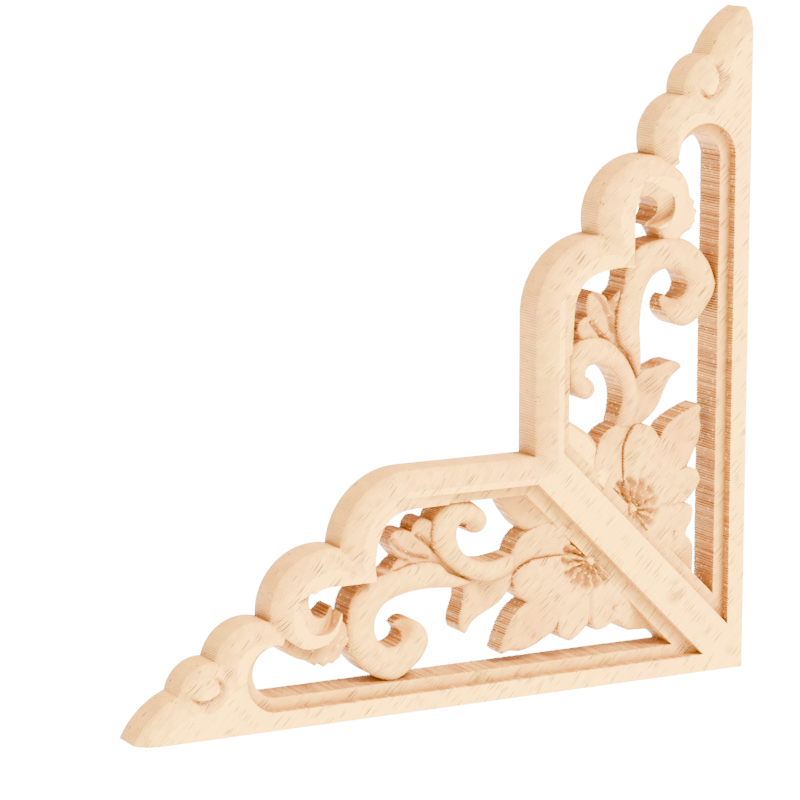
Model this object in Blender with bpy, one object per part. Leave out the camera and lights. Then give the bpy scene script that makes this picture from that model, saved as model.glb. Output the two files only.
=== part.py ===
"""Carved wooden corner onlay: an L-shaped applique with scalloped arms, a plain rib and pierced scrollwork.

Both arms are alike, mirrored about the diagonal that runs up and to the left from the heel. Shapes are
worked out in millimetres on the front plane: u runs from the heel along the lower arm, v runs up the
upright arm, and depth is measured back from the front. The model stands upright with its front facing -Y,
its flat back on the plane y = 0 and its origin on the back near the heel.
"""
import math

import bmesh
import bpy
import numpy as np
from mathutils import Matrix

for old in list(bpy.data.objects):
    bpy.data.objects.remove(old, do_unlink=True)

# Driving dimensions, in millimetres
ARM = 100.0
THICKNESS = 7.0
ORIGIN_INSET = 5.0
BAND_OUT = 35.4
BAND_IN = 30.0
BAND_STEP = 31.7
MARGIN_STEP = 2.75
MARGIN_IN = 4.5
RIB_STEP = 4.2
RIB_IN = 7.1
STEP_DEPTH = 1.5
ROUNDOVER = 2.0
ROUNDOVER_SEGMENTS = 3
LARGE_SCROLL_DEPTH = 1.4
SMALL_SCROLL_DEPTH = 1.6
CRESCENT_DEPTH = 2.1
POINTED_DEPTH = 2.3
CURL_RECESS_DEPTH = 0.9
GROOVE_RADIUS = 0.45
THROUGH = 1.0
TRIM = 4.0
WELD = 0.004
EPSILON = 0.001
CURVE_STEPS = 3
MM = 0.001

# Notches between the lobes of an arm, from the tip down
NOTCH_1 = (6.3, 93.1)
NOTCH_2 = (10.65, 87.4)
NOTCH_3 = (15.45, 78.75)
NOTCH_4 = (25.0, 67.5)


def flow(*points):
    """A smooth curve through the points: each span is a cubic that leans towards the neighbouring points."""
    p = np.array(points, float)
    q = np.vstack([2 * p[0] - p[1], p, 2 * p[-1] - p[-2]])
    t = np.linspace(0, 1, CURVE_STEPS, endpoint=False)[:, None]
    spans = []
    for a, b, c, d in zip(q[:-3], q[1:-2], q[2:-1], q[3:]):
        spans.append(0.5 * (2 * b + (c - a) * t + (2 * a - 5 * b + 4 * c - d) * t ** 2
                            + (3 * b - a - 3 * c + d) * t ** 3))
    return np.vstack(spans + [p[-1:]])


def arc(start, middle, end, steps):
    """The circle arc from start to end that passes through middle."""
    a = np.array(start, float)
    m = np.array(middle, float)
    b = np.array(end, float)
    centre = np.linalg.solve(2 * np.array([m - a, b - a]), np.array([m @ m - a @ a, b @ b - a @ a]))
    radius = np.linalg.norm(a - centre)
    angle_a, angle_m, angle_b = (math.atan2(*(p - centre)[::-1]) for p in (a, m, b))
    sweep = (angle_b - angle_a) % (2 * math.pi)
    if (angle_m - angle_a) % (2 * math.pi) > sweep:
        sweep -= 2 * math.pi
    t = angle_a + sweep * np.linspace(0, 1, steps + 1)
    return centre + radius * np.stack([np.cos(t), np.sin(t)], 1)


def outline(*parts):
    """One outline from points and curves, without repeated points."""
    points = np.vstack([np.atleast_2d(np.array(part, float)) for part in parts])
    keep = np.r_[True, np.linalg.norm(np.diff(points, axis=0), axis=1) > 1e-4]
    points = points[keep]
    if np.linalg.norm(points[0] - points[-1]) < 1e-4:
        points = points[:-1]
    return points


def other_arm(points):
    """The same outline on the lower arm: u and v change places."""
    return np.asarray(points)[:, ::-1]


def plane_through(*marks):
    """The depth of a tilted top, as a function of u and v, from three marks of u, v and depth."""
    m = np.array(marks, float)
    k = np.linalg.solve(np.c_[m[:, :2], np.ones(3)], m[:, 2])
    return lambda u, v: k[0] * u + k[1] * v + k[2]


def level(depth):
    """The depth of a flat top."""
    return lambda u, v: depth


def to_object(name, mesh, group):
    """An object for the mesh, linked to the collection."""
    obj = bpy.data.objects.new(name, mesh)
    group.objects.link(obj)
    return obj


def prism(name, points, top, lower_arm=False, back=-THROUGH / 2):
    """A solid with the outline, from the height `back` above the back plane up to the depth given by `top`.

    The outline is a filled 2D curve, extruded. Its front corners are then moved onto the top.
    """
    drawn = other_arm(points) if lower_arm else np.asarray(points)
    curve = bpy.data.curves.new(name, "CURVE")
    curve.dimensions = "2D"
    curve.fill_mode = "BOTH"
    curve.extrude = THICKNESS / 2
    spline = curve.splines.new("POLY")
    spline.points.add(len(drawn) - 1)
    flat = np.zeros((len(drawn), 4))
    flat[:, 0] = (ORIGIN_INSET - drawn[:, 0])
    flat[:, 1] = (drawn[:, 1] - ORIGIN_INSET)
    flat[:, 3] = 1.0
    spline.points.foreach_set("co", flat.ravel())
    spline.use_cyclic_u = True
    source = bpy.data.objects.new(name, curve)
    shapes.objects.link(source)
    depsgraph = bpy.context.evaluated_depsgraph_get()
    mesh = bpy.data.meshes.new_from_object(source.evaluated_get(depsgraph))
    bpy.data.objects.remove(source, do_unlink=True)
    bm = bmesh.new()
    bm.from_mesh(mesh)
    bmesh.ops.remove_doubles(bm, verts=bm.verts, dist=1e-4)
    for vert in bm.verts:
        u = ORIGIN_INSET - vert.co.x
        v = ORIGIN_INSET + vert.co.y
        if lower_arm:
            u, v = v, u
        vert.co.z = (THICKNESS - top(u, v)) if vert.co.z > 0 else back
    bmesh.ops.recalc_face_normals(bm, faces=bm.faces)
    bm.transform(Matrix.Rotation(math.pi / 2, 4, "X"))
    bm.to_mesh(mesh)
    bm.free()
    return to_object(name, mesh, shapes)


def tilt_back(obj, depth, lower_arm):
    """Move the back end of a prism to a tilted depth, so that it cuts a pocket with a sloping floor."""
    for vert in obj.data.vertices:
        if vert.co.y > -THICKNESS + EPSILON:
            u = ORIGIN_INSET - vert.co.x
            v = ORIGIN_INSET + vert.co.z
            vert.co.y = (depth(v, u) if lower_arm else depth(u, v)) - THICKNESS


def rounded_slab(name, points):
    """A slab whose front edge is rounded over; its back end lies behind the back plane and is cut off."""
    curve = bpy.data.curves.new(name, "CURVE")
    curve.dimensions = "2D"
    curve.fill_mode = "BOTH"
    curve.extrude = (THICKNESS + TRIM - ROUNDOVER) / 2
    curve.bevel_depth = ROUNDOVER
    curve.bevel_resolution = ROUNDOVER_SEGMENTS - 1
    curve.offset = -ROUNDOVER
    spline = curve.splines.new("POLY")
    spline.points.add(len(points) - 1)
    flat = np.zeros((len(points), 4))
    flat[:, 0] = ORIGIN_INSET - points[:, 0]
    flat[:, 1] = points[:, 1] - ORIGIN_INSET
    flat[:, 3] = 1.0
    spline.points.foreach_set("co", flat.ravel())
    spline.use_cyclic_u = True
    source = bpy.data.objects.new(name, curve)
    shapes.objects.link(source)
    depsgraph = bpy.context.evaluated_depsgraph_get()
    mesh = bpy.data.meshes.new_from_object(source.evaluated_get(depsgraph))
    bpy.data.objects.remove(source, do_unlink=True)
    bm = bmesh.new()
    bm.from_mesh(mesh)
    bmesh.ops.remove_doubles(bm, verts=bm.verts, dist=1e-4)
    bmesh.ops.recalc_face_normals(bm, faces=bm.faces)
    bm.transform(Matrix.Translation((0, 0, THICKNESS - curve.extrude - ROUNDOVER)))
    bm.transform(Matrix.Rotation(math.pi / 2, 4, "X"))
    bm.to_mesh(mesh)
    bm.free()
    return to_object(name, mesh, shapes)


def groove_tube(name, marks, lower_arm=False):
    """A round bar along marks of u, v and depth, to cut a groove with."""
    curve = bpy.data.curves.new(name, "CURVE")
    curve.dimensions = "3D"
    curve.bevel_depth = GROOVE_RADIUS
    curve.bevel_resolution = 1
    curve.use_fill_caps = True
    spline = curve.splines.new("POLY")
    spline.points.add(len(marks) - 1)
    for point, (u, v, depth) in zip(spline.points, marks):
        if lower_arm:
            u, v = v, u
        point.co = ((ORIGIN_INSET - u), (depth - THICKNESS), (v - ORIGIN_INSET), 1.0)
    source = bpy.data.objects.new(name, curve)
    shapes.objects.link(source)
    depsgraph = bpy.context.evaluated_depsgraph_get()
    mesh = bpy.data.meshes.new_from_object(source.evaluated_get(depsgraph))
    bpy.data.objects.remove(source, do_unlink=True)
    bm = bmesh.new()
    bm.from_mesh(mesh)
    bmesh.ops.remove_doubles(bm, verts=bm.verts, dist=1e-4)
    bmesh.ops.recalc_face_normals(bm, faces=bm.faces)
    bm.to_mesh(mesh)
    bm.free()
    return to_object(name, mesh, shapes)


def apply_modifiers(obj):
    """Replace the object's mesh by the result of its modifiers."""
    depsgraph = bpy.context.evaluated_depsgraph_get()
    mesh = bpy.data.meshes.new_from_object(obj.evaluated_get(depsgraph))
    obj.modifiers.clear()
    obj.data = mesh


def combine(obj, other, operation, solver="EXACT"):
    """Join the other solid to the object, cut it away or keep what both share, with a Boolean."""
    boolean = obj.modifiers.new(other.name, "BOOLEAN")
    boolean.operation = operation
    boolean.solver = solver
    boolean.object = other
    apply_modifiers(obj)
    other.display_type = "WIRE"
    other.hide_render = True


onlay_parts = bpy.data.collections.new("corner_onlay")
bpy.context.scene.collection.children.link(onlay_parts)
shapes = bpy.data.collections.new("cutters")
bpy.context.scene.collection.children.link(shapes)

# Outer edge of an arm, from its tip to the inner corner of the L
ARM_EDGE = outline(
    (-TRIM, ARM + 2.6),
    arc((0, ARM), (3.75, 97.2), NOTCH_1, 10),
    arc(NOTCH_1, (9.7, 90.9), NOTCH_2, 10),
    arc(NOTCH_2, (14.75, 84.4), NOTCH_3, 10),
    arc(NOTCH_3, (22.5, 76.0), NOTCH_4, 16),
    arc(NOTCH_4, (32.2, 64.0), (BAND_OUT, 56.2), 14))

# The pierced window of an arm, with the arch by the tip, the volute's hook and its round eye
WINDOW = outline(
    (MARGIN_IN, MARGIN_IN + RIB_IN),
    (MARGIN_IN, 78.0),
    arc((MARGIN_IN, 78.0), (8.2, 81.7), (11.95, 78.2), 12),
    (12.5, 77.4),
    (13.3, 76.9),
    flow((13.3, 76.9), (12.4, 75.9), (11.5, 74.3), (11.3, 72.7), (11.6, 71.0), (12.4, 69.7), (13.6, 68.7),
         (15.1, 68.2), (16.5, 68.3)),
    flow((16.4, 68.9), (15.6, 69.6), (15.25, 70.7), (15.6, 71.9), (16.5, 72.7), (17.6, 72.95), (18.7, 72.7),
         (19.6, 71.8), (20.0, 70.4)),
    (20.0, 62.6),
    flow((20.0, 62.6), (22, 62.8), (24.2, 62.6), (26.6, 62.0), (28.6, 60.7), (29.7, 58.7), (BAND_IN, 56.5)),
    (BAND_IN, BAND_IN + RIB_IN))

# The step that runs round the window: its top edge, closed across the window
STEP = outline(
    (MARGIN_STEP, MARGIN_STEP + RIB_STEP),
    (MARGIN_STEP, 78.3),
    arc((MARGIN_STEP, 78.3), (7.75, 83.3), (12.1, 80.6), 12),
    (12.6, 78.4),
    (12.2, 77.6),
    (9.0, 76.0),
    (8.0, 60.0),
    (28.0, 52.0),
    (BAND_IN, 50.5),
    (BAND_STEP, 49.2),
    (BAND_STEP, BAND_STEP + RIB_STEP))

# The volute's inner turn, which falls away towards the hook
VOLUTE_TURN = outline(
    flow((18.4, 75.2), (16.3, 75.1), (14.5, 74.3), (13.3, 72.6), (13.1, 70.8), (13.7, 69.5), (15.0, 68.7),
         (16.9, 67.9)),
    (18.0, 68.6),
    (18.6, 71.0),
    (19.4, 73.0))

# Marks of u, v and depth of the floor of the volute's inner turn
VOLUTE_FALL = ((18.2, 75.0, 0.25), (13.2, 71.0, 1.0), (17.0, 67.8, 3.4))

# The recess round the small curl of the second lobe
CURL_RECESS = outline(
    flow((6.3, 92.8), (5.2, 92.2), (4.3, 91.2), (3.95, 89.9), (4.2, 88.6), (5.0, 87.4), (6.2, 86.7), (7.6, 86.6),
         (8.6, 87.2), (9.3, 88.0)),
    flow((8.7, 87.9), (7.9, 87.35), (6.9, 87.3), (6.0, 88.0), (5.55, 89.2), (5.65, 90.5), (6.3, 91.9)))

LARGE_SCROLL = outline(
    flow((19.4, 49.6), (20.8, 51.0), (21.4, 53), (21.4, 55.5), (20.8, 58), (20.3, 60.2), (19.9, 62.4),
         (19.0, 64.2), (17.0, 65.6), (14.5, 66.2), (12, 66.3), (9.6, 65.8), (7.4, 64.3), (5.7, 62.3), (4.6, 60),
         (4.35, 58.6), (4.9, 57.0), (5.9, 55.5), (7.2, 54.0), (8.9, 53.0), (10.4, 52.9), (11.8, 53.6),
         (12.8, 54.7), (13.15, 55.8), (12.9, 56.9), (12.2, 57.6)),
    flow((12.2, 57.6), (11.3, 56.9), (10.2, 57.3), (9.5, 58.4), (9.6, 59.8), (10.6, 61.1), (12.3, 61.7),
         (14.2, 61.4), (15.7, 60.3), (16.6, 58.7), (17.1, 56.8), (17.4, 54.5), (17.4, 52), (17.2, 49.5),
         (17.2, 47.5), (17.6, 45.5)))

SMALL_SCROLL = outline(
    flow((21.2, 37.8), (20.7, 40), (20.4, 42.3), (20.6, 44.4), (21.3, 46.0), (22.4, 47.3), (23.8, 48.0),
         (25.2, 48.2), (26.2, 47.9), (26.6, 47.1), (26.3, 46.3), (25.5, 46.1)),
    flow((25.5, 46.1), (24.8, 45.4), (24.8, 44.4), (25.5, 43.5), (26.6, 43.1), (27.8, 43.6), (28.9, 44.7),
         (29.8, 46.0), (30.3, 47.8), (30.1, 49.4), (29.3, 50.8), (28, 51.8), (26, 52.3), (24, 52.1),
         (22.2, 51.2), (20.6, 49.8), (19.2, 48.0), (18.2, 46.0), (17.6, 44), (17.4, 42), (17.6, 40), (18.0, 38)))

POINTED_LEAF = outline(
    flow((9.9, 46.6), (11.6, 45.2), (12.6, 43.4), (13.3, 41.7), (14.2, 40.3), (15.4, 39.2), (16.8, 38.2)),
    (18.6, 38.0),
    (18.8, 46.5),
    flow((17.9, 47.0), (16.2, 46.7), (14.6, 46.9), (12.9, 47.5), (11.4, 47.7), (10.3, 47.3), (9.9, 46.6)))

CRESCENT_LEAF = outline(
    flow((13.6, 77.4), (12.3, 77.2), (11.0, 76.3), (10.0, 75.2), (9.3, 73.8), (8.9, 72.2)),
    (8.1, 71.4),
    (8.4, 70.7),
    (7.8, 70.0),
    (8.3, 69.2),
    (8.1, 68.6),
    flow((8.6, 68.0), (8.9, 67.4), (9.6, 67.0), (10.3, 66.5), (11.0, 65.6)),
    (13.4, 65.6),
    (14.3, 67.2),
    (15.5, 69.0),
    (13.5, 71.5),
    (13.5, 74.5))

LOBED_LEAF = outline(
    (19.6, 60.0),
    flow((20.6, 59.0), (21.5, 58.2), (22.1, 57.2)),
    flow((22.1, 57.2), (23.6, 58.5), (25.0, 59.0), (26.3, 58.7)),
    flow((26.3, 58.7), (26.5, 57.0), (26.0, 55.4)),
    flow((26.0, 55.4), (26.9, 55.2), (27.8, 54.5)),
    flow((27.8, 54.5), (27.9, 53.4), (27.4, 52.4)),
    (27.0, 51.0),
    (22.6, 50.4),
    (19.8, 47.4),
    (17.9, 43.2),
    (17.6, 46.8),
    (19.2, 51.2),
    (20.4, 55))

# Petals of the flower that springs from the rib: outline and three marks of u, v and depth of its top
PETALS = {
    "band_petal": (
        outline(flow((24.1, 36.1), (25.2, 37.5), (27.1, 39.0), (28.9, 40.0), (30.4, 40.5)),
                (30.6, 36.0), (24.0, 29.5), (22.6, 31.5), (23.2, 34.5)),
        ((24.3, 31.6, 1.6), (BAND_IN, 37.5, 3.2), (26.0, 38.2, 3.6))),
    "stem_petal": (
        outline(flow((24.3, 36.1), (23.6, 37.2), (22.5, 38.1), (21.0, 38.7), (19.0, 38.9)),
                (17.3, 38.2), (18.6, 36.8), (19.3, 35.0), (19.4, 31.0), (18.4, 24.0), (26.0, 31.5),
                (25.4, 33.6)),
        ((19.0, 26.0, 1.7), (25.0, 32.0, 1.7), (21.0, 38.6, 2.8))),
    "long_petal": (
        outline(flow((13.5, 36.1), (14.5, 37.5), (15.8, 38.4), (17.6, 38.6)),
                (18.8, 37.4), (19.7, 35.6), (20.0, 33.0), (20.2, 29.5), (19.6, 25.4), (16.4, 22.6),
                (13.0, 27.6), (8.9, 31.4),
                flow((8.9, 31.4), (7.7, 33.2), (6.6, 35.2), (6.1, 37.2), (6.3, 38.8), (5.9, 40.1)),
                (6.5, 40.7),
                flow((6.5, 40.7), (8.5, 40.0), (10.5, 39.1), (12.3, 37.8), (13.5, 36.1))),
        ((18.0, 30.0, 1.35), (16.2, 38.4, 2.2), (6.4, 40.6, 2.9))),
    "upper_petal": (
        outline(flow((9.0, 31.6), (7.9, 31.1), (7.3, 30.2), (7.2, 29.3), (7.7, 28.3), (8.5, 27.2),
                     (9.5, 26.0)),
                (14.5, 24.5), (17.5, 27.0), (15.5, 29.8)),
        ((7.4, 29.5, 1.0), (9.4, 26.1, 1.2), (16.0, 28.0, 1.7))),
    "middle_petal": (
        outline(flow((9.5, 26.2), (8.5, 25.6), (8.2, 24.6), (8.5, 23.2), (9.1, 22.0), (9.3, 21.1)),
                (12.3, 18.5), (17.8, 24.0), (15.5, 26.6)),
        ((8.2, 24.5, 1.1), (9.3, 21.2, 1.3), (15.0, 23.0, 1.5))),
    "corner_petal": (
        outline(flow((9.4, 21.3), (8.2, 20.2), (7.2, 18.7), (6.9, 16.8), (6.7, 15.0), (6.3, 13.4)),
                (5.2, 12.1), (4.2, 11.7), (4.4, 10.4), (12.6, 18.8), (11.4, 22.0)),
        ((5.0, 12.0, 4.4), (12.0, 19.3, 1.6), (9.3, 21.2, 1.5))),
}

# Grooves in the flower, as marks of u, v and depth
GROOVES = {
    "stem_groove": ((17.2, 38.2, 1.7), (18.6, 37.0, 1.6), (19.4, 35.2, 1.5), (19.7, 33.0, 1.4),
                    (19.6, 30.6, 1.3)),
    "petal_groove": ((9.2, 26.1, 0.9), (11.2, 25.8, 1.0), (13.6, 26.0, 1.2), (16.0, 26.3, 1.3)),
}

# Scrolls and leaves with level tops, each with its depth below the front
LEVEL_ELEMENTS = {
    "pointed_leaf": (POINTED_LEAF, POINTED_DEPTH),
    "crescent_leaf": (CRESCENT_LEAF, CRESCENT_DEPTH),
    "lobed_leaf": (LOBED_LEAF, POINTED_DEPTH),
    "small_scroll": (SMALL_SCROLL, SMALL_SCROLL_DEPTH),
    "large_scroll": (LARGE_SCROLL, LARGE_SCROLL_DEPTH),
}

# Frame slab: drawn past its straight sides and its back with every edge rounded over, then cut square there
lower_edge = other_arm(ARM_EDGE)[::-1]
drawn_edge = outline((-TRIM, -TRIM), ARM_EDGE, (BAND_OUT, BAND_OUT), lower_edge)
body = rounded_slab("body", drawn_edge)
square = prism("square", outline((0, 0), (0, ARM), (ARM, ARM), (ARM, 0)), level(-THROUGH), back=-THROUGH)
combine(body, square, "INTERSECT")

# Windows, steps, volutes and curl recesses are cut from both arms
for arm, lower in (("upright", False), ("lower", True)):
    window = prism("window_" + arm, WINDOW, level(-THROUGH), lower, back=-2 * THROUGH)
    combine(body, window, "DIFFERENCE", "MANIFOLD")
    step = prism("step_" + arm, STEP, level(-THROUGH), lower, back=THICKNESS - STEP_DEPTH)
    combine(body, step, "DIFFERENCE", "MANIFOLD")
    turn = prism("volute_turn_" + arm, VOLUTE_TURN, level(-THROUGH), lower)
    tilt_back(turn, plane_through(*VOLUTE_FALL), lower)
    combine(body, turn, "DIFFERENCE", "MANIFOLD")
    recess_floor = THICKNESS - CURL_RECESS_DEPTH
    recess = prism("curl_recess_" + arm, CURL_RECESS, level(-THROUGH), lower, back=recess_floor)
    combine(body, recess, "DIFFERENCE", "MANIFOLD")

# Scrolls, leaves and petals are joined to the frame in both windows. Their tops run out almost level with the
# rib, which the exact solver fails on.
for arm, lower in (("upright", False), ("lower", True)):
    for name, (shape, marks) in PETALS.items():
        combine(body, prism(name + "_" + arm, shape, plane_through(*marks), lower), "UNION", "MANIFOLD")
    for name, marks in GROOVES.items():
        combine(body, groove_tube(name + "_" + arm, marks, lower), "DIFFERENCE", "MANIFOLD")
    for name, (shape, depth) in LEVEL_ELEMENTS.items():
        combine(body, prism(name + "_" + arm, shape, level(depth), lower), "UNION", "MANIFOLD")

# The back is cut flat
square.data.transform(Matrix.Translation((0, THICKNESS + THROUGH, 0)))
combine(body, square, "DIFFERENCE", "MANIFOLD")
bm = bmesh.new()
bm.from_mesh(body.data)
bmesh.ops.remove_doubles(bm, verts=bm.verts, dist=WELD)
bmesh.ops.dissolve_degenerate(bm, edges=bm.edges, dist=WELD)
bm.to_mesh(body.data)
bm.free()

# Pale unfinished wood
wood = bpy.data.materials.new("pale_wood")
wood.use_nodes = True
shader = wood.node_tree.nodes["Principled BSDF"]
shader.inputs["Base Color"].default_value = (0.80, 0.58, 0.40, 1.0)
shader.inputs["Roughness"].default_value = 0.62
shader.inputs["Metallic"].default_value = 0.0

# Millimetres to metres
body.data.transform(Matrix.Scale(MM, 4))

body.name = "onlay"
body.data.name = "onlay"
shapes.objects.unlink(body)
onlay_parts.objects.link(body)
body.data.materials.clear()
body.data.materials.append(wood)
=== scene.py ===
"""A carved wooden corner onlay: one pale, machine-carved piece on a plain studio floor."""
import math

import bmesh
import bpy
import numpy as np
from mathutils import Matrix, Vector


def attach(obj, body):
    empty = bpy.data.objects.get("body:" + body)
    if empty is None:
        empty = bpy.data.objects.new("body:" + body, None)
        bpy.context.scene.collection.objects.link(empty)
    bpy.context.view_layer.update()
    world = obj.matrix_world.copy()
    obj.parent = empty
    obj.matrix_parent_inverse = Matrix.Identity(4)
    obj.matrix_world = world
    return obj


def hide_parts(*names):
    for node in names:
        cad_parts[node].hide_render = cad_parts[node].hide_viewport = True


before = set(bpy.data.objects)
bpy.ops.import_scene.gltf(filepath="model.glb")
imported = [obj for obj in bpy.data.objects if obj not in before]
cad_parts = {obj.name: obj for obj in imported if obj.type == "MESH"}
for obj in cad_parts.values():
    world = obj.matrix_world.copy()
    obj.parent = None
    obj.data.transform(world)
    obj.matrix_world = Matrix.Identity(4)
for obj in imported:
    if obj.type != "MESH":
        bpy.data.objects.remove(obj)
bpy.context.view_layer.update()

# Onlay
# One flat piece of pale wood, cut out and carved on a router: a plain L-shaped margin and diagonal rib,
# scalloped outer lobes, and pierced scrolls, leaves and a flower in both arms. The back is flat.

# Lengths are millimetres from the heel: u along the lower arm, v up the upright arm, depth from the front
ARM = 100.0
THICKNESS = 7.0
ORIGIN_INSET = 5.0
# The band on the inner side of the L: its outer face, where the last lobe meets it, inner face, step
BAND_OUT = 35.4
BAND_END = 56.2
BAND_IN = 30.0
BAND_STEP = 31.7
# The margin from the outer side, and the rib from the diagonal, to their steps and to the openings
MARGIN_STEP = 2.75
MARGIN_IN = 4.5
RIB_STEP = 4.2
RIB_IN = 7.1
STEP_DEPTH = 1.5
# Where the lobes of an arm meet, from its tip
NOTCH_1 = (6.3, 93.1)
NOTCH_2 = (10.65, 87.4)
NOTCH_3 = (15.45, 78.75)
NOTCH_4 = (25.0, 67.5)
# Grids of the carved surfaces, and how far blocks and outlines run on past the piece
FRAME_GRID = 0.3
ELEMENT_GRID = 0.24
BACK_GRID = 2.0
SPARE = 1.0
PAST = 10.0


def flow(*points, steps=6):
    """A smooth curve through the points: each span is a cubic whose end slopes follow its neighbours."""
    p = np.array(points, float)
    q = np.vstack([2 * p[0] - p[1], p, 2 * p[-1] - p[-2]])
    t = np.linspace(0, 1, steps, endpoint=False)[:, None]
    spans = []
    for a, b, c, d in zip(q[:-3], q[1:-2], q[2:-1], q[3:]):
        spans.append(0.5 * (2 * b + (c - a) * t + (2 * a - 5 * b + 4 * c - d) * t ** 2
                            + (3 * b - a - 3 * c + d) * t ** 3))
    return np.vstack(spans + [p[-1:]])


def circle(start, middle, end):
    """Centre and radius of the circle through three points."""
    a, m, b = (np.array(p, float) for p in (start, middle, end))
    centre = np.linalg.solve(2 * np.array([m - a, b - a]), np.array([m @ m - a @ a, b @ b - a @ a]))
    return centre, np.linalg.norm(a - centre)


def arc(start, middle, end, steps=24):
    """The circle arc from start to end that passes through middle."""
    centre, radius = circle(start, middle, end)
    angle_a, angle_m, angle_b = (math.atan2(*(np.array(p) - centre)[::-1]) for p in (start, middle, end))
    sweep = (angle_b - angle_a) % (2 * math.pi)
    if (angle_m - angle_a) % (2 * math.pi) > sweep:
        sweep -= 2 * math.pi
    t = angle_a + sweep * np.linspace(0, 1, steps + 1)
    return centre + radius * np.stack([np.cos(t), np.sin(t)], 1)


def outline(*parts, same=1e-4):
    """One outline from points and curves, without repeated points."""
    points = np.vstack([np.atleast_2d(np.array(part, float)) for part in parts])
    points = points[np.r_[True, np.linalg.norm(np.diff(points, axis=0), axis=1) > same]]
    return points[:-1] if np.linalg.norm(points[0] - points[-1]) < same else points


def inset(points, u, v, closed=True):
    """Distance from each u, v to the outline, negative outside it; to an open line it is positive."""
    a = points if closed else points[:-1]
    b = np.roll(points, -1, 0) if closed else points[1:]
    best = np.full(u.shape, 1e9)
    inside = np.full(u.shape, not closed)
    for (au, av), (bu, bv) in zip(a, b):
        du, dv = bu - au, bv - av
        t = np.clip(((u - au) * du + (v - av) * dv) / (du * du + dv * dv), 0, 1)
        best = np.minimum(best, (u - au - t * du) ** 2 + (v - av - t * dv) ** 2)
        if closed and dv:
            inside ^= ((av > v) != (bv > v)) & (u < au + (v - av) * du / dv)
    return np.where(inside, 1, -1) * np.sqrt(best)


def eased(distance, radius, fullness=0.88):
    """Depth of a rounded edge at a distance inside it: part of a quarter circle, run on outside."""
    t = np.clip(distance / radius, 0, 1)
    steep = fullness / math.sqrt(1 - fullness)
    return radius * (1 - np.sqrt(1 - fullness * (1 - t) ** 2)) + steep * np.maximum(-distance, 0)


def dip(u, v, centre, radius, depth):
    """A smooth hollow round a centre: the bell curve of the distance over the radius."""
    return depth * np.exp(-((u - centre[0]) ** 2 + (v - centre[1]) ** 2) / radius ** 2)


def groove(u, v, width, depth, *points):
    """A soft groove along a line, fading out over the width."""
    return depth * np.exp(-(inset(np.array(points, float), u, v, closed=False) / width) ** 2)


def waves(u, v, height=0.02):
    """Slight unevenness of carved wood: three crossing sine waves a few millimetres long."""
    return height * (np.sin(u * 1.1 + v * 0.7) + np.sin(u * 0.6 - v * 1.4 + 1.0)
                     + np.sin(u * 1.9 + v * 1.6 + 2.0))


def tilted(*marks):
    """Depth of a tilted plane through three marks of u, v and depth."""
    m = np.array(marks, float)
    k = np.linalg.solve(np.c_[m[:, :2], np.ones(3)], m[:, 2])
    return lambda u, v: k[0] * u + k[1] * v + k[2]


def solid(name, corners, faces):
    """An object from corners given as u, v and height above the back plane."""
    mesh = bpy.data.meshes.new(name)
    place = np.stack([ORIGIN_INSET - corners[:, 0], -corners[:, 2], corners[:, 1] - ORIGIN_INSET], 1)
    mesh.from_pydata(place.tolist(), [], faces)
    bm = bmesh.new()
    bm.from_mesh(mesh)
    bmesh.ops.recalc_face_normals(bm, faces=bm.faces)
    bmesh.ops.triangulate(bm, faces=bm.faces)
    bm.to_mesh(mesh)
    bm.free()
    obj = bpy.data.objects.new(name, mesh)
    bpy.context.scene.collection.objects.link(obj)
    return obj


def prism(name, points, front, back, lower_arm):
    """A straight-sided solid on the outline, between two heights, each a number or a function of depth."""
    n = len(points)
    ends = [THICKNESS - end(points[:, 0], points[:, 1]) if callable(end) else np.full(n, end)
            for end in (front, back)]
    drawn = points[:, ::-1] if lower_arm else points
    k = np.arange(n)
    sides = np.stack([k, (k + 1) % n, (k + 1) % n + n, k + n], 1)
    return solid(name, np.vstack([np.c_[drawn, end] for end in ends]),
                 sides.tolist() + [k.tolist(), (k[::-1] + n).tolist()])


def terrain(name, low, high, depth, lower_arm, step=ELEMENT_GRID, floor=-SPARE / 2):
    """A block over a rectangle whose front is the surface of the depth function, on a fine grid."""
    nu = int(round((high[0] - low[0]) / step)) + 1
    nv = int(round((high[1] - low[1]) / step)) + 1
    u, v = np.meshgrid(np.linspace(low[0], high[0], nu), np.linspace(low[1], high[1], nv), indexing="ij")
    top = np.maximum(THICKNESS - depth(u, v), 0)
    if lower_arm:
        u, v = v, u
    corners = np.vstack([np.stack([u, v, top], -1).reshape(-1, 3),
                         np.stack([u, v, np.full_like(u, floor)], -1).reshape(-1, 3)])
    index = np.arange(nu * nv).reshape(nu, nv)
    quads = np.stack([index[:-1, :-1], index[1:, :-1], index[1:, 1:], index[:-1, 1:]], -1).reshape(-1, 4)
    rim = np.concatenate([index[:-1, 0], index[-1, :-1], index[:0:-1, -1], index[0, :0:-1]])
    sides = np.stack([rim, np.roll(rim, -1), np.roll(rim, -1) + nu * nv, rim + nu * nv], 1)
    return solid(name, corners, quads.tolist() + sides.tolist() + [(rim[::-1] + nu * nv).tolist()])


def combine(obj, other, operation):
    """Joins, cuts or intersects two closed solids and drops the second."""
    boolean = obj.modifiers.new(other.name, "BOOLEAN")
    boolean.operation = operation
    boolean.solver = "MANIFOLD"
    boolean.object = other
    mesh = bpy.data.meshes.new_from_object(obj.evaluated_get(bpy.context.evaluated_depsgraph_get()))
    obj.modifiers.clear()
    obj.data = mesh
    bpy.data.objects.remove(other, do_unlink=True)


# The cutter's teeth: their spacing and depths, the way they face, and the facing from which they show
TOOTH = 0.19
TOOTH_DEPTHS = (0.05, 0.22)
TOOTH_SIDE = np.array([0.6, 0.8])
TOOTH_FACING = 0.25
TOOTH_SEED = 3


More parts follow.
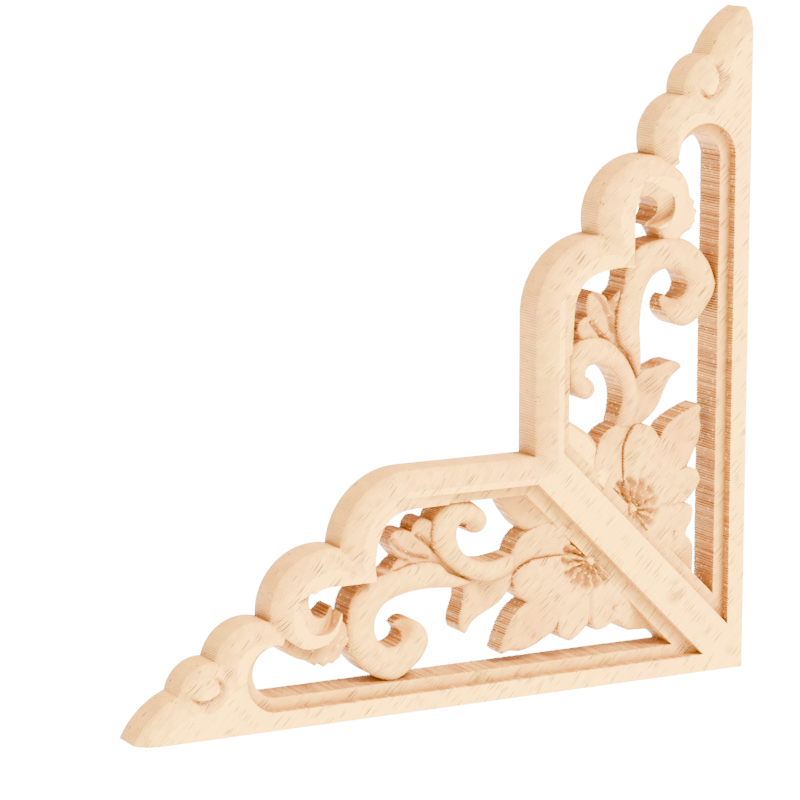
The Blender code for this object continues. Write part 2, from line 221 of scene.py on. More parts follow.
def ridged(points, lower_arm, hole=False):
    """The outline with the teeth that the cutter leaves on walls that face up and to the left.

    The outline is divided finely, and every second point there is set back by a random amount.
    """
    run = np.roll(points, -1, 0) - points
    length = np.linalg.norm(run, axis=1)
    count = np.maximum(2 * np.ceil(length / TOOTH / 2), 2).astype(int)
    area = np.sum(points[:, 0] * np.roll(points[:, 1], -1) - points[:, 1] * np.roll(points[:, 0], -1))
    outward = np.stack([run[:, 1], -run[:, 0]], 1) / length[:, None] * (np.sign(area) * (-1 if hole else 1))
    facing = outward @ (TOOTH_SIDE[::-1] if lower_arm else TOOTH_SIDE)
    count = np.where(facing > TOOTH_FACING, count, 1)
    piece = np.repeat(np.arange(len(points)), count)
    k = np.arange(len(piece)) - np.repeat(np.cumsum(count) - count, count)
    place = points[piece] + run[piece] * (k / count[piece])[:, None]
    size = np.random.default_rng(TOOTH_SEED).uniform(*TOOTH_DEPTHS, len(piece))
    size = size * np.clip((facing[piece] - TOOTH_FACING) / 0.3, 0, 1)
    return place - outward[piece] * (size * (k % 2))[:, None]


# Outlines of the upper arm's frame, openings and carved elements; the lower arm swaps u and v
LOBES = (((0.0, ARM), (3.75, 97.2), NOTCH_1),
         (NOTCH_1, (9.7, 90.9), NOTCH_2),
         (NOTCH_2, (14.75, 84.4), NOTCH_3),
         (NOTCH_3, (22.5, 76.0), NOTCH_4),
         (NOTCH_4, (32.2, 64.0), (BAND_OUT, BAND_END)))
ARM_EDGE = outline((-PAST, ARM + PAST / 2), *(arc(*lobe) for lobe in LOBES))
SLAB = outline((-PAST, -PAST), ARM_EDGE, (BAND_OUT, BAND_OUT), ARM_EDGE[::-1, ::-1])
WINDOW = outline(
    (MARGIN_IN, MARGIN_IN + RIB_IN),
    (MARGIN_IN, 78.0),
    arc((MARGIN_IN, 78.0), (8.2, 81.7), (11.95, 78.2)),
    (12.5, 77.4),
    (13.3, 76.9),
    flow((13.3, 76.9), (12.4, 75.9), (11.5, 74.3), (11.3, 72.7), (11.6, 71.0), (12.4, 69.7), (13.6, 68.7),
         (15.1, 68.2), (16.5, 68.3)),
    flow((16.4, 68.9), (15.6, 69.6), (15.25, 70.7), (15.6, 71.9), (16.5, 72.7), (17.6, 72.95), (18.7, 72.7),
         (19.6, 71.8), (20.0, 70.4)),
    (20.0, 62.6),
    flow((20.0, 62.6), (22, 62.8), (24.2, 62.6), (26.6, 62.0), (28.6, 60.7), (29.7, 58.7), (BAND_IN, 56.5)),
    (BAND_IN, BAND_IN + RIB_IN))
STEP = outline(
    (MARGIN_STEP, MARGIN_STEP + RIB_STEP),
    (MARGIN_STEP, 78.3),
    arc((MARGIN_STEP, 78.3), (7.75, 83.3), (12.1, 80.6)),
    (12.6, 78.4),
    (12.2, 77.6),
    (9.0, 76.0),
    (8.0, 60.0),
    (28.0, 52.0),
    (BAND_IN, 50.5),
    (BAND_STEP, 49.2),
    (BAND_STEP, BAND_STEP + RIB_STEP))
VOLUTE_TURN = outline(
    flow((18.4, 75.2), (16.3, 75.1), (14.5, 74.3), (13.3, 72.6), (13.1, 70.8), (13.7, 69.5), (15.0, 68.7),
         (16.9, 67.9)),
    (18.0, 68.6),
    (18.6, 71.0),
    (19.4, 73.0))
VOLUTE_FALL = tilted((18.2, 75.0, 0.25), (13.2, 71.0, 1.0), (17.0, 67.8, 3.4))
LARGE_SCROLL = outline(
    flow((19.4, 49.6), (20.8, 51.0), (21.4, 53), (21.4, 55.5), (20.8, 58), (20.3, 60.2), (19.9, 62.4),
         (19.0, 64.2), (17.0, 65.6), (14.5, 66.2), (12, 66.3), (9.6, 65.8), (7.4, 64.3), (5.7, 62.3),
         (4.6, 60), (4.35, 58.6), (4.9, 57.0), (5.9, 55.5), (7.2, 54.0), (8.9, 53.0), (10.4, 52.9),
         (11.8, 53.6), (12.8, 54.7), (13.15, 55.8), (12.9, 56.9), (12.2, 57.6)),
    flow((12.2, 57.6), (11.3, 56.9), (10.2, 57.3), (9.5, 58.4), (9.6, 59.8), (10.6, 61.1), (12.3, 61.7),
         (14.2, 61.4), (15.7, 60.3), (16.6, 58.7), (17.1, 56.8), (17.4, 54.5), (17.4, 52), (17.2, 49.5),
         (17.2, 47.5), (17.6, 45.5)))
SMALL_SCROLL = outline(
    flow((21.2, 37.8), (20.7, 40), (20.4, 42.3), (20.6, 44.4), (21.3, 46.0), (22.4, 47.3), (23.8, 48.0),
         (25.2, 48.2), (26.2, 47.9), (26.6, 47.1), (26.3, 46.3), (25.5, 46.1)),
    flow((25.5, 46.1), (24.8, 45.4), (24.8, 44.4), (25.5, 43.5), (26.6, 43.1), (27.8, 43.6), (28.9, 44.7),
         (29.8, 46.0), (30.3, 47.8), (30.1, 49.4), (29.3, 50.8), (28, 51.8), (26, 52.3), (24, 52.1),
         (22.2, 51.2), (20.6, 49.8), (19.2, 48.0), (18.2, 46.0), (17.6, 44), (17.4, 42), (17.6, 40),
         (18.0, 38)))
POINTED_LEAF = outline(
    flow((9.9, 46.6), (11.6, 45.2), (12.6, 43.4), (13.3, 41.7), (14.2, 40.3), (15.4, 39.2), (16.8, 38.2)),
    (18.6, 38.0),
    (18.8, 46.5),
    flow((17.9, 47.0), (16.2, 46.7), (14.6, 46.9), (12.9, 47.5), (11.4, 47.7), (10.3, 47.3), (9.9, 46.6)))
CRESCENT_LEAF = outline(
    flow((13.6, 77.4), (12.3, 77.2), (11.0, 76.3), (10.0, 75.2), (9.3, 73.8), (8.9, 72.2)),
    (8.1, 71.4),
    (8.4, 70.7),
    (7.8, 70.0),
    (8.3, 69.2),
    (8.1, 68.6),
    flow((8.6, 68.0), (8.9, 67.4), (9.6, 67.0), (10.3, 66.5), (11.0, 65.6)),
    (13.4, 65.6),
    (14.3, 67.2),
    (15.5, 69.0),
    (13.5, 71.5),
    (13.5, 74.5))
LOBED_LEAF = outline(
    (19.6, 60.0),
    flow((20.6, 59.0), (21.5, 58.2), (22.1, 57.2)),
    flow((22.1, 57.2), (23.6, 58.5), (25.0, 59.0), (26.3, 58.7)),
    flow((26.3, 58.7), (26.5, 57.0), (26.0, 55.4)),
    flow((26.0, 55.4), (26.9, 55.2), (27.8, 54.5)),
    flow((27.8, 54.5), (27.9, 53.4), (27.4, 52.4)),
    (27.0, 51.0),
    (22.6, 50.4),
    (19.8, 47.4),
    (17.9, 43.2),
    (17.6, 46.8),
    (19.2, 51.2),
    (20.4, 55))
BAND_PETAL = outline(
    flow((24.1, 36.1), (25.2, 37.5), (27.1, 39.0), (28.9, 40.0), (30.4, 40.5)),
    (30.6, 36.0), (24.0, 29.5), (22.6, 31.5), (23.2, 34.5))
STEM_PETAL = outline(
    flow((24.3, 36.1), (23.6, 37.2), (22.5, 38.1), (21.0, 38.7), (19.0, 38.9)),
    (17.3, 38.2), (18.6, 36.8), (19.3, 35.0), (19.4, 31.0), (18.4, 24.0), (26.0, 31.5), (25.4, 33.6))
LONG_PETAL = outline(
    flow((13.5, 36.1), (14.5, 37.5), (15.8, 38.4), (17.6, 38.6)),
    (18.8, 37.4), (19.7, 35.6), (20.0, 33.0), (20.2, 29.5), (19.6, 25.4), (16.4, 22.6), (13.0, 27.6),
    (8.9, 31.4),
    flow((8.9, 31.4), (7.7, 33.2), (6.6, 35.2), (6.1, 37.2), (6.3, 38.8), (5.9, 40.1)),
    (6.5, 40.7),
    flow((6.5, 40.7), (8.5, 40.0), (10.5, 39.1), (12.3, 37.8), (13.5, 36.1)))
UPPER_PETAL = outline(
    flow((9.0, 31.6), (7.9, 31.1), (7.3, 30.2), (7.2, 29.3), (7.7, 28.3), (8.5, 27.2), (9.5, 26.0)),
    (14.5, 24.5), (17.5, 27.0), (15.5, 29.8))
MIDDLE_PETAL = outline(
    flow((9.5, 26.2), (8.5, 25.6), (8.2, 24.6), (8.5, 23.2), (9.1, 22.0), (9.3, 21.1)),
    (12.3, 18.5), (17.8, 24.0), (15.5, 26.6))
CORNER_PETAL = outline(
    flow((9.4, 21.3), (8.2, 20.2), (7.2, 18.7), (6.9, 16.8), (6.7, 15.0), (6.3, 13.4)),
    (5.2, 12.1), (4.2, 11.7), (4.4, 10.4), (12.6, 18.8), (11.4, 22.0))

# The small curl's recess at angles round its centre: where its slope starts and ends, and its depth there
CURL_CENTRE = (7.35, 89.2)
CURL_ANGLES = (0, 25, 45, 60, 75, 102, 144, 180, 203, 259, 306, 340, 360)
CURL_INNER = (1.9, 1.75, 2.4, 3.3, 3.9, 2.9, 2.17, 1.85, 1.74, 2.2, 2.04, 1.95, 1.9)
CURL_OUTER = (2.4, 2.3, 3.0, 3.9, 4.6, 3.9, 3.3, 3.5, 3.3, 3.0, 2.7, 2.5, 2.4)
CURL_DEPTH = (0.25, 0.0, 0.0, 0.1, 0.4, 0.75, 0.95, 1.0, 1.0, 0.9, 0.5, 0.35, 0.25)
CURL_WALL = 0.35
CURL_HOOK = ((8.92, 90.09), (9.05, 89.42), (8.97, 88.75), (8.47, 87.83), (7.67, 87.27))


def snail(near, far):
    """The recess of the small curl: a spiral step whose radius, depth and reach change with the angle.

    It starts at the first notch, runs round the heel side and the bottom and dies away under the curl.
    A short groove hooks inwards at its end.
    """
    du, dv = near - CURL_CENTRE[0], far - CURL_CENTRE[1]
    reach = np.hypot(du, dv)
    angle = np.degrees(np.arctan2(dv, du)) % 360
    inner, outer, floor = (np.interp(angle, CURL_ANGLES, marks)
                           for marks in (CURL_INNER, CURL_OUTER, CURL_DEPTH))
    slope = np.clip((outer - reach) / (outer - inner), 0, 1)
    wall = np.clip((reach - inner + CURL_WALL) / CURL_WALL, 0, 1)
    return floor * np.where(reach > inner, slope, wall) + groove(near, far, 0.22, 0.45, *CURL_HOOK)


# The frame's rounded rim, how far the first lobe's disc reaches below its edge, and the band's sunk strip
ROUNDING = 3.2
DISC_REACH = 2.0
STRIP_WIDTH = 3.0
STRIP_LOW = 47.0
STRIP_HIGH = 60.0
STRIP_DEPTH = 0.8


def frame_depth(u, v):
    """The frame's front: each lobe is a disc with a rounded rim, and the discs meet in creases."""
    far, near = np.maximum(u, v), np.minimum(u, v)
    edge = inset(SLAB, u, v)
    discs = np.full(u.shape, -1e9)
    for lobe in LOBES:
        centre, radius = circle(*lobe)
        discs = np.maximum(discs, radius - np.hypot(near - centre[0], far - centre[1]))
    within = np.where(far > BAND_END, np.maximum(discs, edge - DISC_REACH), edge)
    strip = (near > BAND_IN - STRIP_WIDTH) & (far > STRIP_LOW)
    across = np.clip((BAND_STEP - near) / 0.4, 0, 1)
    hollow = STRIP_DEPTH * across * np.clip((STRIP_HIGH - far) / 10.0, 0, 1) * strip
    return np.maximum(eased(within, ROUNDING), np.maximum(snail(near, far), hollow))


def scroll(points, base, curl, fall, ramp=None):
    """A scroll's front: a rounded bar that falls away at the tip of its curl.

    With a ramp, given as where it starts and ends and how deep it gets, it falls away at its root too.
    """
    def depth(u, v):
        sunk = 0 if ramp is None else ramp[2] * np.clip((ramp[0] - v) / (ramp[0] - ramp[1]), 0, 1)
        rim = eased(inset(points, u, v), 1.8, 0.86)
        return base + sunk + rim + dip(u, v, curl[:2], curl[2], fall) + waves(u, v)
    return depth


def petal(points, marks, hollow, centre, radius, extra=None):
    """A petal's front: a tilted plane, its rim eased and its middle dished."""
    plane = tilted(*marks)

    def depth(u, v):
        rim = eased(inset(points, u, v), 0.8, 0.8)
        d = plane(u, v) + rim + dip(u, v, centre, radius, 1.5 * hollow) + waves(u, v)
        return d + extra(u, v) if extra else d
    return depth


# The flower's heart: its centre, how many threads a full turn would have, and how far they reach
HEART = (19.1, 26.2)
THREADS = 14
THREAD_REACH = 4.9


def stamens(u, v):
    """The stamens at the flower's heart: short raised threads that fan out, with beads along them.

    The threads are a cosine of the angle, and the beads a cosine of the distance, shifted by thread.
    """
    du, dv = u - HEART[0], v - HEART[1]
    reach = np.hypot(du, dv)
    angle = np.arctan2(dv, du)
    thread = 0.5 + 0.5 * np.cos(angle * THREADS + 0.5 * np.sin(reach * 3.0))
    beads = 0.5 + 0.5 * np.cos(reach * 4.6 + np.round(angle * THREADS / (2 * math.pi)) * 1.7)
    spread = np.clip((THREAD_REACH - reach) / 0.9, 0, 1) * np.clip((reach - 0.4) / 0.6, 0, 1)
    return spread * (1.1 - 1.35 * thread ** 1.3 * (0.6 + 0.4 * beads))


def veins(u, v):
    """Veins and folds of the lobed leaf."""
    return (groove(u, v, 0.4, 0.9, (25.4, 54.4), (24.0, 52.6), (23.0, 51.4))
            + groove(u, v, 0.4, 0.8, (25.0, 58.8), (23.4, 57.2), (22.2, 55.0), (21.8, 53.0))
            + groove(u, v, 0.5, 0.8, (22.1, 57.4), (21.6, 56.0)))


def petal_folds(u, v):
    """Folds across the petals beside the upper arm's flower, and its stamens."""
    return (stamens(u, v)
            + groove(u, v, 0.3, 0.45, (9.2, 26.1), (11.2, 25.8), (13.6, 26.0), (16.0, 26.3))
            + groove(u, v, 0.4, 0.14, (16.0, 29.2), (13.0, 28.7), (11.0, 30.0), (10.4, 32.5), (10.8, 35.0)))


def stem_folds(u, v):
    """The fold between the two middle petals, and the stamens."""
    return stamens(u, v) + groove(u, v, 0.7, 0.6, (17.2, 38.4), (18.6, 37.0), (19.4, 35.2), (19.7, 33.0),
                                  (19.6, 30.6))


# The frame: a block with the carved front, cut to the outline, then opened, stepped and turned in each arm
FRONT = THICKNESS + SPARE
BEHIND = -2 * SPARE
body = terrain("body", (-SPARE, -SPARE), (ARM + SPARE, ARM + SPARE), frame_depth, False, FRAME_GRID)
combine(body, prism("slab", SLAB, FRONT, -SPARE, False), "INTERSECT")
square = outline((0, 0), (0, ARM), (ARM, ARM), (ARM, 0))
combine(body, prism("square", square, FRONT, -SPARE, False), "INTERSECT")
for lower in (False, True):
    combine(body, prism("window", ridged(WINDOW, lower, hole=True), FRONT, BEHIND, lower), "DIFFERENCE")
    combine(body, prism("step", ridged(STEP, lower, hole=True), FRONT, THICKNESS - STEP_DEPTH, lower),
            "DIFFERENCE")
    combine(body, prism("turn", VOLUTE_TURN, FRONT, VOLUTE_FALL, lower), "DIFFERENCE")

# The carved elements, each a block with its own front, cut to its outline and joined to the frame
elements = (
    (LARGE_SCROLL, scroll(LARGE_SCROLL, 1.4, (12.4, 57.0, 1.5), 2.4)),
    (SMALL_SCROLL, scroll(SMALL_SCROLL, 1.5, (25.4, 45.6, 1.2), 1.3, (42.5, 38.0, 1.0))),
    (POINTED_LEAF, petal(POINTED_LEAF, ((17.5, 40.0, 3.1), (17.0, 46.5, 3.0), (10.5, 46.5, 2.4)), 0.6,
                         (15.8, 43.0), 1.9)),
    (CRESCENT_LEAF, petal(CRESCENT_LEAF, ((9.0, 70.0, 1.9), (12.0, 76.5, 2.2), (12.0, 68.0, 2.3)), 0.6,
                          (10.8, 71.5), 2.4)),
    (LOBED_LEAF, petal(LOBED_LEAF, ((22.0, 53.0, 3.0), (26.0, 58.5, 2.5), (27.5, 53.5, 2.7)), 0.4,
                       (24.0, 55.4), 1.8, veins)),
    (BAND_PETAL, petal(BAND_PETAL, ((24.3, 31.6, 1.6), (BAND_IN, 37.5, 3.2), (26.0, 38.2, 3.6)), 0.15,
                       (27.0, 37.0), 2.0)),
    (STEM_PETAL, petal(STEM_PETAL, ((19.0, 26.0, 1.7), (25.0, 32.0, 1.7), (21.0, 38.6, 2.8)), 0.15,
                       (22.0, 35.0), 2.5, stem_folds)),
    (LONG_PETAL, petal(LONG_PETAL, ((18.0, 30.0, 1.35), (16.2, 38.4, 2.2), (6.4, 40.6, 2.9)), 0.45,
                       (11.0, 35.5), 3.0, stem_folds)),
    (UPPER_PETAL, petal(UPPER_PETAL, ((7.4, 29.5, 1.0), (9.4, 26.1, 1.2), (16.0, 28.0, 1.7)), 0.4,
                        (11.0, 29.0), 2.2, petal_folds)),
    (MIDDLE_PETAL, petal(MIDDLE_PETAL, ((8.2, 24.5, 1.1), (9.3, 21.2, 1.3), (15.0, 23.0, 1.5)), 0.4,
                         (11.5, 23.2), 1.8, petal_folds)),
    (CORNER_PETAL, petal(CORNER_PETAL, ((5.0, 12.0, 4.4), (12.0, 19.3, 1.6), (9.3, 21.2, 1.5)), 0.2,
                         (8.0, 17.5), 1.8)),
)
BORDER = SPARE / 2
for lower in (False, True):
    for points, depth in elements:
        element = terrain("element", points.min(0) - BORDER, points.max(0) + BORDER, depth, lower)
        combine(element, prism("cut", ridged(points, lower), FRONT, BEHIND, lower), "INTERSECT")
        combine(body, element, "UNION")

# The back is cut flat by a block with a gridded face, which keeps the back's faces small
behind = terrain("behind", (-BACK_GRID, -BACK_GRID), (ARM + BACK_GRID, ARM + BACK_GRID),
                 lambda u, v: np.full(u.shape, THICKNESS), False, BACK_GRID, -3 * SPARE)
combine(body, behind, "DIFFERENCE")
bm = bmesh.new()
bm.from_mesh(body.data)
bmesh.ops.triangulate(bm, faces=bm.faces, ngon_method="EAR_CLIP")
bm.to_mesh(body.data)
bm.free()

# Four face values for the material: carved by the tool, how far a rough wall in painted shade, depth, and
# facing the front.
# A wall turned up gets less of it, as painted light from above. The leaf behind the volute gets it as
# painted shadow of the volute and roughness, and the curl's floor as painted shade and roughness.
WALL_FACING = 0.6
UP_WALL_PAINTED_LIGHT = 0.65
LEAF_ROUGH_AND_PAINTED_SHADOW = 0.6
CURL_ROUGH_AND_PAINTED_SHADE = 0.35
mesh = body.data
centre = np.zeros(3 * len(mesh.polygons))
normal = np.zeros(3 * len(mesh.polygons))
mesh.polygons.foreach_get("center", centre)
mesh.polygons.foreach_get("normal", normal)
centre, normal = centre.reshape(-1, 3), normal.reshape(-1, 3)
u, v, depth = ORIGIN_INSET - centre[:, 0], centre[:, 2] + ORIGIN_INSET, THICKNESS + centre[:, 1]
near, far = np.minimum(u, v), np.maximum(u, v)
straight_side = near < 0.02
planed = (normal[:, 1] < -0.995) & (depth < 0.05)
carved = ~(straight_side | planed | (normal[:, 1] > 0.9))
# Inner walls of the openings: browned as rough end grain and as painted shade of the enclosed openings
wall = carved & (np.abs(normal[:, 1]) < WALL_FACING) & (inset(SLAB, u, v) > 0.6)
# Painted light: walls that face up are made less brown, as if lit from above
wall = wall * (1 - UP_WALL_PAINTED_LIGHT * np.clip(normal[:, 2], 0, 1))
# The leaf behind the volute: painted shadow of the volute, and roughness
behind_volute = carved & (inset(CRESCENT_LEAF, near, far) > 0) & (inset(WINDOW, near, far) > 0)
# The curl's recessed floor: painted shade in the hollow, and roughness
curl_floor = carved & (snail(near, far) > 0.3)
wall = np.maximum(wall, np.maximum(LEAF_ROUGH_AND_PAINTED_SHADOW * behind_volute, CURL_ROUGH_AND_PAINTED_SHADE * curl_floor))
for label, values in (("carved", carved), ("wall", wall), ("depth", np.clip(depth / THICKNESS, 0, 1)),
                      ("facing", np.clip(-normal[:, 1], 0, 1))):
    mesh.attributes.new(label, "FLOAT", "FACE").data.foreach_set("value", values.astype(float))

mesh.transform(Matrix.Scale(0.001, 4))
body.name = "carved_onlay"
mesh.name = "carved_onlay"
mesh.shade_smooth()
mesh.set_sharp_from_angle(angle=math.radians(38))
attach(body, "root")
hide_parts("onlay")


def node(tree, kind, inputs, **settings):
    """Adds a node, sets its options, and fills its inputs with numbers or links."""
    made = tree.nodes.new(kind)
    for key, value in settings.items():
        setattr(made, key, value)
    for key, value in inputs.items():
        if isinstance(value, bpy.types.NodeSocket):
            tree.links.new(value, made.inputs[key])
        else:
            made.inputs[key].default_value = value
    return made


def worked_out(tree, operation, *values):
    """A number worked out from one to three others."""
    return node(tree, "ShaderNodeMath", dict(enumerate(values)), operation=operation).outputs[0]


def product(tree, a, b):
    """Two numbers multiplied."""
    return worked_out(tree, "MULTIPLY", a, b)


def span(tree, value, low, high, to_low=0.0, to_high=1.0):
    """A smooth change from one level to another as the value goes from low to high."""
    ends = {"Value": value, "From Min": low, "From Max": high, "To Min": to_low, "To Max": to_high}
    return node(tree, "ShaderNodeMapRange", ends, interpolation_type="SMOOTHSTEP").outputs["Result"]


def mix(tree, factor, a, b):
    """A mix of two colours."""
    return node(tree, "ShaderNodeMix", {0: factor, 6: a, 7: b}, data_type="RGBA").outputs[2]


def face_value(tree, label):
    """One of the mesh's face values."""
    return node(tree, "ShaderNodeAttribute", {}, attribute_name=label).outputs["Fac"]


def object_place(tree):
    """The position on the object, in metres."""
    return node(tree, "ShaderNodeTexCoord", {}).outputs["Object"]


def along_grain(tree):
    """Object position turned on the board's face so that x runs along the grain, up to the right."""
    turn = {"Vector": object_place(tree), "Rotation": (0, math.radians(45), 0)}
    return node(tree, "ShaderNodeMapping", turn).outputs["Vector"]


def stretched(tree, place, x, y, z):
    """A position counted in cells of the given length, depth and width in millimetres."""
    return node(tree, "ShaderNodeVectorMath", {0: place, 1: (1000 / x, 1000 / y, 1000 / z)},
                operation="MULTIPLY").outputs[0]


def noise(tree, place, detail, **inputs):
    """Soft noise with one cell to each unit of the position."""
    settings = {"Vector": place, "Scale": 1.0, "Detail": detail} | inputs
    return node(tree, "ShaderNodeTexNoise", settings).outputs["Fac"]


# Wood grain: wide figure, fine fibres, and pores that show as short dark dashes along the grain.
# Each layer of dashes has a cell's length, depth and width in millimetres, a dash's size in it, and whether
# it is flat, for faces towards the front.
DASHES = ((5.0, 1.0, 0.30, 0.27, True), (3.2, 1.0, 0.26, 0.26, True), (3.0, 0.6, 0.4, 0.26, False))
grain = bpy.data.node_groups.new("wood_grain", "ShaderNodeTree")
grain.interface.new_socket("Pore Share", in_out="INPUT", socket_type="NodeSocketFloat").default_value = 0.3
for label in ("Figure", "Fibre", "Pores"):
    grain.interface.new_socket(label, in_out="OUTPUT", socket_type="NodeSocketFloat")
grain_in = grain.nodes.new("NodeGroupInput")
grain_out = grain.nodes.new("NodeGroupOutput")
place = along_grain(grain)
figure = noise(grain, stretched(grain, place, 34, 16, 6), 3.0, Roughness=0.55, Distortion=0.6)
fibre = noise(grain, stretched(grain, place, 7, 0.7, 0.3), 4.0, Roughness=0.6)
towards_front = span(grain, face_value(grain, "facing"), 0.6, 0.85)
dashes = []
for length, across, width, limit, flat in DASHES:
    cell = stretched(grain, place, length, across, width)
    if flat:
        parts = node(grain, "ShaderNodeSeparateXYZ", {"Vector": cell}).outputs
        cell = node(grain, "ShaderNodeCombineXYZ", {"X": parts["X"], "Y": parts["Z"]}).outputs[0]
        shown = towards_front
    else:
        shown = worked_out(grain, "SUBTRACT", 1.0, towards_front)
    cells = node(grain, "ShaderNodeTexVoronoi", {"Vector": cell, "Scale": 1.0}, feature="F1",
                 voronoi_dimensions="2D" if flat else "3D")
    chance = node(grain, "ShaderNodeSeparateColor", {"Color": cells.outputs["Color"]}).outputs
    chosen = worked_out(grain, "LESS_THAN", chance[0], grain_in.outputs["Pore Share"])
    shape = span(grain, cells.outputs["Distance"], limit, limit * 0.62)
    level = product(grain, shape, span(grain, chance[1], 0.0, 1.0, 0.4, 1.0))
    dashes.append(product(grain, product(grain, level, chosen), shown))
pores = worked_out(grain, "MAXIMUM", worked_out(grain, "MAXIMUM", dashes[0], dashes[1]), dashes[2])
for label, value in (("Figure", figure), ("Fibre", fibre), ("Pores", pores)):
    grain.links.new(value, grain_out.inputs[label])

# Tool marks: fine ridges where the cutter crossed the grain line by line, slightly uneven.
# A ridge is a sine of the distance along the grain, shifted by slow noise.
marks = bpy.data.node_groups.new("tool_marks", "ShaderNodeTree")
marks.interface.new_socket("Spacing mm", in_out="INPUT", socket_type="NodeSocketFloat").default_value = 0.25
for label in ("Ridge", "Patchiness"):
    marks.interface.new_socket(label, in_out="OUTPUT", socket_type="NodeSocketFloat")
marks_in = marks.nodes.new("NodeGroupInput")
marks_out = marks.nodes.new("NodeGroupOutput")
place = along_grain(marks)
wander = noise(marks, stretched(marks, place, 5, 40, 3), 2.0)
x = node(marks, "ShaderNodeSeparateXYZ", {"Vector": stretched(marks, place, 1, 1, 1)}).outputs["X"]
turns = worked_out(marks, "ADD", worked_out(marks, "DIVIDE", x, marks_in.outputs["Spacing mm"]), wander)
swing = worked_out(marks, "SINE", product(marks, turns, 2 * math.pi))
patchy = noise(marks, stretched(marks, place, 2.2, 5, 1.0), 3.0)
marks.links.new(worked_out(marks, "MULTIPLY_ADD", swing, 0.5, 0.5), marks_out.inputs["Ridge"])
marks.links.new(span(marks, patchy, 0.35, 0.65), marks_out.inputs["Patchiness"])

# Pale unfinished wood: cream with pinker and yellower figure, browner on the walls of the openings as rough
# end grain and painted shade. Each mix lays one thing over the last: fibres, painted shade by depth, walls,
# painted crevice shade, painted shade in the tool mark valleys, pores, flecks.
PINKER = (0.82, 0.39, 0.048, 1)
YELLOWER = (0.80, 0.45, 0.038, 1)
FIBRE = (0.55, 0.22, 0.03, 1)
ROUGH_WALL_SHADED_VALLEY = (0.38, 0.15, 0.012, 1)
ROUGH_WALL_LIT_RIDGE = (0.58, 0.27, 0.026, 1)
DEPTH_PAINTED_SHADE = (0.50, 0.20, 0.022, 1)
CREVICE_PAINTED_SHADE = (0.30, 0.105, 0.010, 1)
TOOL_VALLEY_SHADE = (0.24, 0.085, 0.010, 1)
PORE = (0.045, 0.018, 0.007, 1)
FLECK = (0.90, 0.60, 0.20, 1)
# A brown patch on the rib near the heel, in metres
BROWN_PATCH = (-0.0070, -THICKNESS / 1000, 0.0080)
wood = bpy.data.materials.new("pale_wood")
wood.use_nodes = True
tree = wood.node_tree
shader = tree.nodes["Principled BSDF"]
grain_node = node(tree, "ShaderNodeGroup", {}, node_tree=grain)
grain_node.inputs["Pore Share"].default_value = 0.25
marks_node = node(tree, "ShaderNodeGroup", {}, node_tree=marks)
marks_node.inputs["Spacing mm"].default_value = 0.29
ridge, patchiness = marks_node.outputs["Ridge"], marks_node.outputs["Patchiness"]
on_carved, on_wall, sunk = (face_value(tree, label) for label in ("carved", "wall", "depth"))

base = mix(tree, span(tree, grain_node.outputs["Figure"], 0.35, 0.65), PINKER, YELLOWER)
base = mix(tree, span(tree, grain_node.outputs["Fibre"], 0.3, 0.75, 0.0, 0.5), base, FIBRE)
# Painted shade: carved faces deeper in the piece are browner
base = mix(tree, product(tree, span(tree, sunk, 0.22, 0.45, 0.0, 0.6), on_carved), base, DEPTH_PAINTED_SHADE)
# Walls: rough end grain in painted shade, with painted light on the tool ridges and painted shade in their
# valleys
base = mix(tree, product(tree, on_wall, 0.9), base, mix(tree, ridge, ROUGH_WALL_SHADED_VALLEY, ROUGH_WALL_LIT_RIDGE))
# Painted shade in crevices, from the ambient occlusion of nearby faces
shut_in = node(tree, "ShaderNodeAmbientOcclusion", {"Distance": 0.0025}, samples=8, only_local=True)
crevice_shade = product(tree, span(tree, shut_in.outputs["AO"], 0.95, 0.45), on_carved)
base = mix(tree, product(tree, crevice_shade, 0.7), base, CREVICE_PAINTED_SHADE)
# Painted shade in the valleys of the tool ridges, in patches
valley_shade = product(tree, worked_out(tree, "SUBTRACT", 1.0, ridge), on_carved)
valley_shade = product(tree, valley_shade, span(tree, patchiness, 0.0, 1.0, 0.32, 0.7))
brown_patch = node(tree, "ShaderNodeVectorMath", {0: object_place(tree), 1: BROWN_PATCH}, operation="DISTANCE")
brown_patch = product(tree, span(tree, brown_patch.outputs["Value"], 0.0026, 0.0008), patchiness)
# The brown patch takes the same dark brown as the tool valley shade
base = mix(tree, worked_out(tree, "MAXIMUM", valley_shade, product(tree, brown_patch, 0.8)), base, TOOL_VALLEY_SHADE)
base = mix(tree, product(tree, grain_node.outputs["Pores"], 0.95), base, PORE)
spots = node(tree, "ShaderNodeTexVoronoi", {"Vector": stretched(tree, along_grain(tree), 1.2, 0.9, 0.9),
                                            "Scale": 1.0}, feature="F1").outputs["Distance"]
flecks = product(tree, span(tree, spots, 0.26, 0.12), on_wall)
base = mix(tree, product(tree, flecks, 0.75), base, FLECK)
tree.links.new(base, shader.inputs["Base Color"])
shader.inputs["Roughness"].default_value = 0.62
shader.inputs["Specular IOR Level"].default_value = 0.2

cut_bump = node(tree, "ShaderNodeBump", {"Height": product(tree, ridge, on_carved), "Distance": 0.00006,
                                         "Strength": 0.8}).outputs["Normal"]
unsunk = worked_out(tree, "SUBTRACT", 1.0, grain_node.outputs["Pores"])
pore_bump = node(tree, "ShaderNodeBump", {"Height": unsunk, "Distance": 0.00004, "Strength": 0.6,
                                          "Normal": cut_bump}).outputs["Normal"]
tree.links.new(pore_bump, shader.inputs["Normal"])
mesh.materials.clear()
mesh.materials.append(wood)

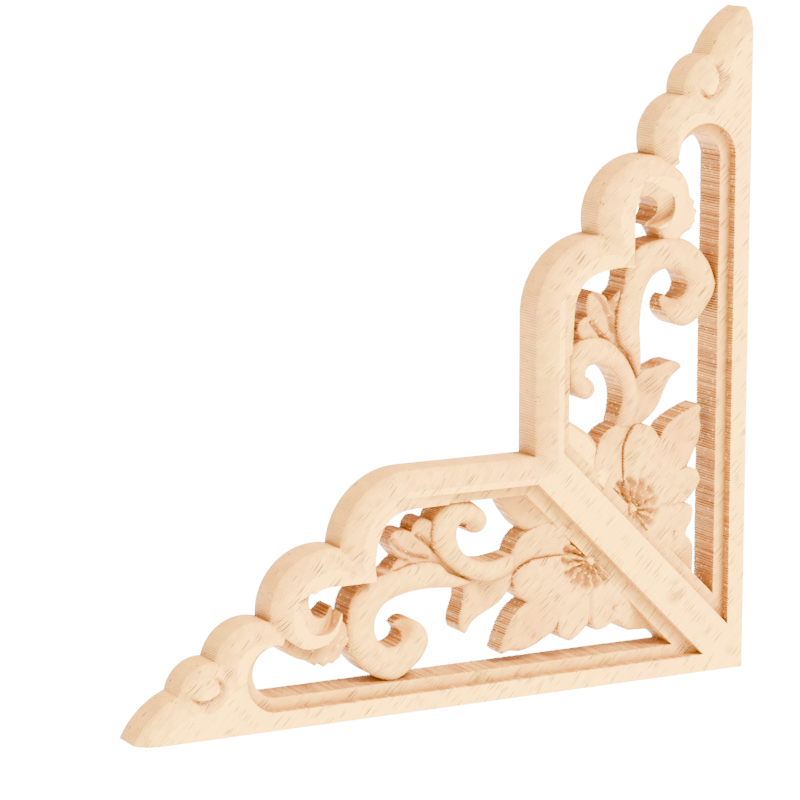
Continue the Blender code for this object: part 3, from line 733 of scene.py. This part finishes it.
# Floor
# A plain pale studio floor a little below the piece. It glows for the camera, so that it looks white.
FLOOR_REACH = 9
FLOOR_LEVEL = -0.25
FLOOR_GLOW = 3.0
GLOW_SEEN = 7.0
floor_mesh = bpy.data.meshes.new("floor")
floor_mesh.from_pydata([(x * FLOOR_REACH, y * FLOOR_REACH, FLOOR_LEVEL)
                        for x, y in ((-1, -1), (1, -1), (1, 1), (-1, 1))], [], [(0, 1, 2, 3)])
floor = bpy.data.objects.new("floor", floor_mesh)
bpy.context.scene.collection.objects.link(floor)
floor_material = bpy.data.materials.new("floor")
floor_material.use_nodes = True
floor_tree = floor_material.node_tree
floor_shader = floor_tree.nodes["Principled BSDF"]
floor_shader.inputs["Base Color"].default_value = (0.95, 0.95, 0.95, 1.0)
floor_shader.inputs["Roughness"].default_value = 0.9
floor_shader.inputs["Emission Color"].default_value = (1.0, 1.0, 1.0, 1.0)
seen = node(floor_tree, "ShaderNodeLightPath", {}).outputs["Is Camera Ray"]
glow = worked_out(floor_tree, "MULTIPLY_ADD", seen, GLOW_SEEN, FLOOR_GLOW)
floor_tree.links.new(glow, floor_shader.inputs["Emission Strength"])
floor_mesh.materials.append(floor_material)

# Light and camera
# A bright white studio from all round, a soft lamp above and to the right, and the photo's viewing angle.
world = bpy.data.worlds.new("studio")
bpy.context.scene.world = world
world.use_nodes = True
world.node_tree.nodes["Background"].inputs["Color"].default_value = (1.0, 1.0, 1.0, 1.0)
world.node_tree.nodes["Background"].inputs["Strength"].default_value = 2.5
lamp = bpy.data.lights.new("key", "SUN")
lamp.energy = 21.0
lamp.angle = math.radians(25)
lamp.color = (1.0, 0.98, 0.94)
key = bpy.data.objects.new("key", lamp)
bpy.context.scene.collection.objects.link(key)
key.matrix_world = Vector((-0.25, 0.60, -0.76)).to_track_quat("-Z", "Y").to_matrix().to_4x4()

camera_data = bpy.data.cameras.new("camera")
camera_data.sensor_width = 36.0
camera_data.lens = 161.72
camera_data.clip_start = 0.01
camera = bpy.data.objects.new("camera", camera_data)
bpy.context.scene.collection.objects.link(camera)
# The camera's directions, and its place measured from the heel and moved to the origin
right = (0.883666, -0.468116, 0.001217)
ahead = (0.460671, 0.869143, -0.179925)
up = (0.083168, 0.159555, 0.983680)
place = (-0.294731 + ORIGIN_INSET / 1000, -0.451916, 0.138306 - ORIGIN_INSET / 1000)
rows = [(right[i], up[i], -ahead[i], place[i]) for i in range(3)]
camera.matrix_world = Matrix(rows + [(0, 0, 0, 1)])
bpy.context.scene.camera = camera
